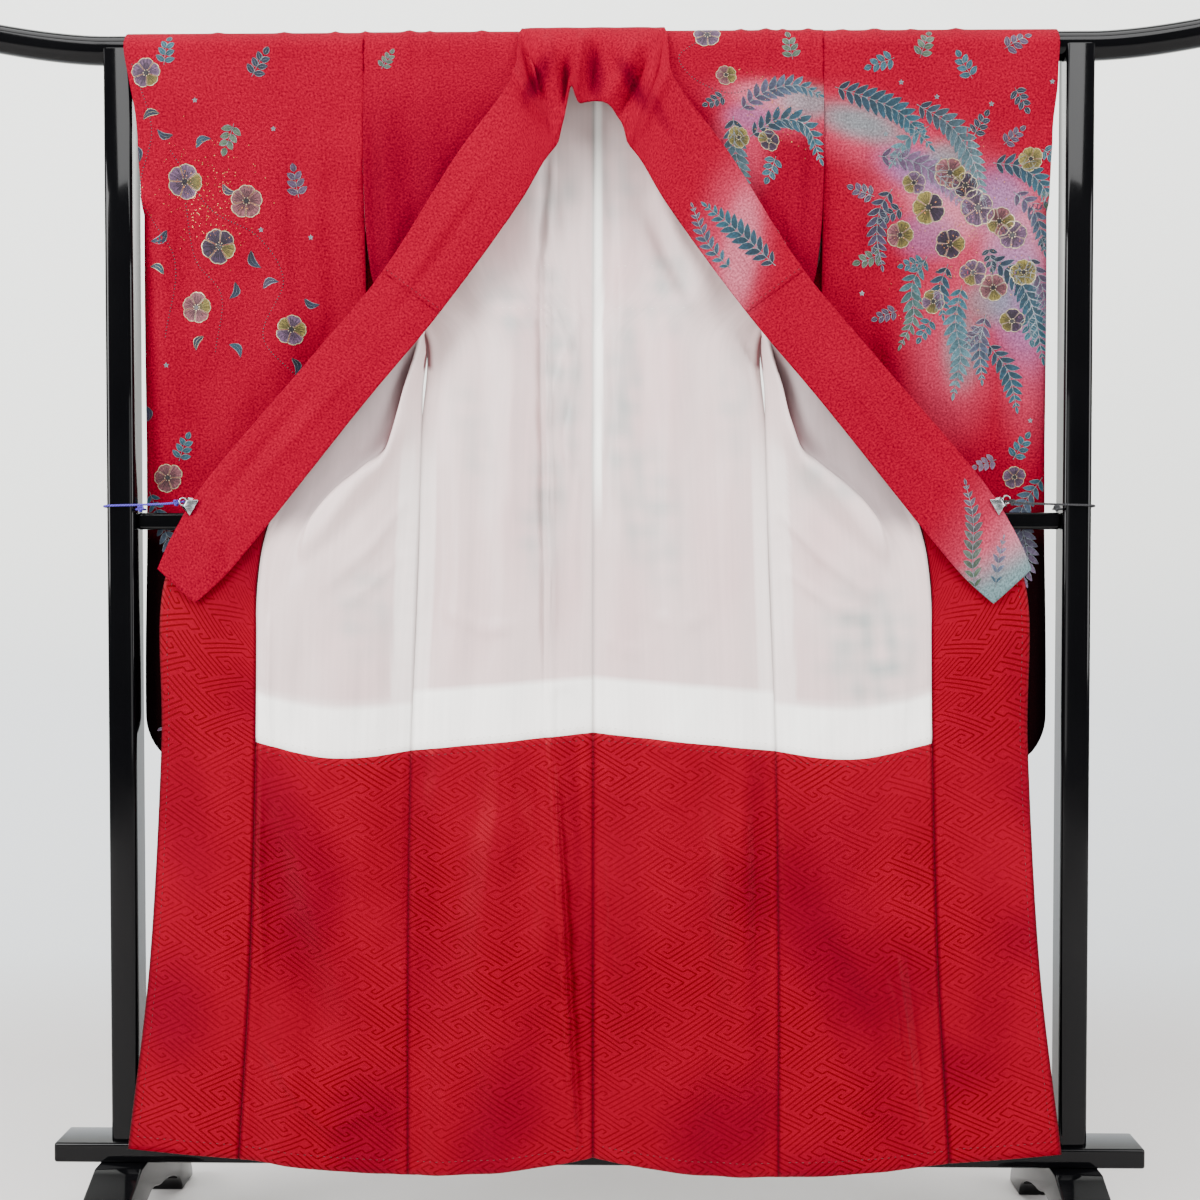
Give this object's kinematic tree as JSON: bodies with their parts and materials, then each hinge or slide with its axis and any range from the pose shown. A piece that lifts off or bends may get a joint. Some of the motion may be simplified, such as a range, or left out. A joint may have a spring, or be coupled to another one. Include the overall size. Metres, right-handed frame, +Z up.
{
  "type": "furisode kimono on a kimono stand",
  "caption": "Long-sleeved silk kimono hung open over the rail of a black lacquered stand, lining showing.",
  "frame": {"origin": "on the floor, midway between the two feet of the stand", "axes": "+Z up, X along the rails of the stand, the open front of the kimono faces -Y"},
  "size_m": [1.724, 0.436, 1.7345],
  "materials": {
    "black_lacquer": "gloss black lacquer",
    "silk_crepe": "matte pebbled silk crepe",
    "white_silk": "soft sheen plain silk",
    "red_damask": "soft sheen figured silk",
    "bright_steel": "polished",
    "tie_cord": "twisted cotton"
  },
  "bodies": {
    "root": {"top_rail": "black_lacquer", "middle_rail": "black_lacquer", "base_bar": "black_lacquer", "upright_left": "black_lacquer", "upright_right": "black_lacquer", "foot_left": "black_lacquer", "foot_right": "black_lacquer", "clip_cord_left": "tie_cord", "clip_cord_right": "tie_cord", "body_left": "silk_crepe", "body_right": "silk_crepe", "body_lining_left": "white_silk", "body_lining_right": "white_silk", "back_hem_lining_left": "red_damask", "back_hem_lining_right": "red_damask", "front_hem_lining_left": "red_damask", "front_hem_lining_right": "red_damask", "overlap_left": "silk_crepe", "overlap_right": "silk_crepe", "overlap_lining_left": "red_damask", "overlap_lining_right": "red_damask", "sleeve_left": "silk_crepe", "sleeve_right": "silk_crepe", "collar": "silk_crepe", "cover_collar": "silk_crepe", "collar_clip_left": "bright_steel", "collar_clip_right": "bright_steel"}
  },
  "joints": []
}
